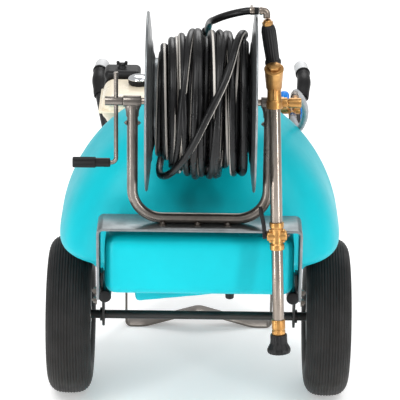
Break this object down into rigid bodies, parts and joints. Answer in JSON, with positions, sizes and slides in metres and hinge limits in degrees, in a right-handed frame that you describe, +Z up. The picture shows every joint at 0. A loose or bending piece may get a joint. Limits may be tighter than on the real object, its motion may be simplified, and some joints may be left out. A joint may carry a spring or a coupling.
{
  "type": "wheeled trolley sprayer",
  "caption": "Wheeled motor trolley sprayer: plastic tank on two pneumatic tyres, tube frame with handles, hand-cranked hose reel, spray lance, petrol engine and pump.",
  "frame": {"origin": "bottom centre of the trolley's bounding box, on the ground", "axes": "-Y is the reel end, +Y the handle and engine end, +X the lance side, +Z up"},
  "size_m": [0.7566, 1.3656, 1.1114],
  "materials": {
    "tank_plastic": "satin",
    "black_paint": "semi-gloss",
    "zinc_steel": "zinc plated, satin",
    "polished_steel": "polished",
    "brass": "cast and machined",
    "tyre": "matte",
    "wheel_paint": "semi-gloss",
    "hose_rubber": "satin with a thin white stripe",
    "feed_hose": "satin",
    "black_plastic": "matte",
    "cream_plastic": "gloss",
    "cast_aluminium": "cast",
    "red_plastic": "gloss",
    "chrome": "bright",
    "blue_plastic": "satin"
  },
  "bodies": {
    "chassis": {"tank": "tank_plastic", "filler_strainer": "black_plastic", "drain_plug": "black_plastic", "rail_left": "black_paint", "rail_right": "black_paint", "cross_tube": "black_paint", "engine_platform": "black_paint", "axle": "black_paint", "hanger_left": "black_paint", "hanger_right": "black_paint", "stand": "zinc_steel", "handle_grip_left": "black_plastic", "handle_grip_right": "black_plastic", "bracket": "zinc_steel", "reel_frame": "zinc_steel", "hose_tail": "hose_rubber", "swivel_joint": "brass", "feed_hose": "feed_hose", "suction_hose": "hose_rubber", "engine_crankcase": "cast_aluminium", "engine_cylinder": "cast_aluminium", "recoil_cover": "red_plastic", "fuel_tank": "cream_plastic", "air_filter": "black_plastic", "muffler": "black_paint", "drive_coupling": "cast_aluminium", "pump_body": "cast_aluminium", "manifold": "brass"},
    "wheel_left": {"tyre_left": "tyre", "rim_left": "wheel_paint", "hub_left": "wheel_paint"},
    "wheel_right": {"tyre_right": "tyre", "rim_right": "wheel_paint", "hub_right": "wheel_paint"},
    "reel": {"reel_drum": "zinc_steel", "reel_flange_left": "zinc_steel", "reel_flange_right": "zinc_steel", "reel_shaft": "polished_steel", "crank_arm": "zinc_steel", "hose_pack": "hose_rubber"},
    "crank_grip": {"crank_grip": "black_plastic"},
    "lance": {"hose_elbow": "polished_steel", "hose_nut": "brass", "lance_grip": "black_plastic", "gun_body": "brass", "gun_cap": "brass", "lance_tube_upper": "polished_steel", "valve_block": "brass", "lance_tube_lower": "polished_steel", "nozzle_collar": "brass"},
    "trigger": {"trigger_lever": "black_plastic"},
    "nozzle": {"nozzle": "black_plastic"},
    "lid": {"tank_lid": "black_plastic"},
    "fuel_cap": {"fuel_cap": "chrome"},
    "tap_a": {"tap_knob_a": "blue_plastic"},
    "tap_b": {"tap_knob_b": "blue_plastic"},
    "bypass": {"bypass_lever": "blue_plastic"},
    "recoil_handle": {"recoil_handle": "black_plastic"}
  },
  "joints": [
    {"name": "wheel_left_spin", "type": "hinge", "parent": "chassis", "child": "wheel_left", "pos_m": [-0.3223, -0.1013, 0.2], "axis": [1, 0, 0], "continuous": true},
    {"name": "wheel_right_spin", "type": "hinge", "parent": "chassis", "child": "wheel_right", "pos_m": [0.3223, -0.1013, 0.2], "axis": [1, 0, 0], "continuous": true},
    {"name": "reel_spin", "type": "hinge", "parent": "chassis", "child": "reel", "pos_m": [0, -0.4763, 0.885], "axis": [1, 0, 0], "continuous": true},
    {"name": "crank_grip_spin", "type": "hinge", "parent": "reel", "child": "crank_grip", "pos_m": [-0.208, -0.4763, 0.736], "axis": [1, 0, 0], "continuous": true},
    {"name": "lance_swing", "type": "hinge", "parent": "chassis", "child": "lance", "pos_m": [0.1278, -0.4813, 1.103], "axis": [-1, 0, 0], "range_deg": [0, 30]},
    {"name": "trigger_pull", "type": "hinge", "parent": "lance", "child": "trigger", "pos_m": [0.14923, -0.54988, 0.58726], "axis": [0.9993, 0.0043, 0.0372], "range_deg": [0, 14], "stiffness_Nm_per_rad": 0.6, "springref_deg": -8.59},
    {"name": "nozzle_turn", "type": "hinge", "parent": "lance", "child": "nozzle", "pos_m": [0.188, -0.5823, 0.31], "axis": [-0.0374, 0.116, 0.9925], "range_deg": [0, 180]},
    {"name": "lid_lift", "type": "slide", "parent": "chassis", "child": "lid", "axis": [0, 0, 1], "range_m": [0, 0.15]},
    {"name": "fuel_cap_turn", "type": "hinge", "parent": "chassis", "child": "fuel_cap", "pos_m": [-0.166, 0.3837, 0.6588], "axis": [0, 0, 1], "range_deg": [0, 90]},
    {"name": "tap_a_turn", "type": "hinge", "parent": "chassis", "child": "tap_a", "pos_m": [0.219, 0.3437, 0.6288], "axis": [0, 0, 1], "range_deg": [0, 90]},
    {"name": "tap_b_turn", "type": "hinge", "parent": "chassis", "child": "tap_b", "pos_m": [0.2535, 0.3437, 0.6288], "axis": [0, 0, 1], "range_deg": [0, 90]},
    {"name": "bypass_turn", "type": "hinge", "parent": "chassis", "child": "bypass", "pos_m": [0.2628, 0.3437, 0.6065], "axis": [1, 0, 0], "range_deg": [0, 90]},
    {"name": "recoil_pull", "type": "slide", "parent": "chassis", "child": "recoil_handle", "axis": [-1, 0, 0], "range_m": [0, 0.05], "stiffness_N_per_m": 60, "springref_m": -0.02}
  ]
}
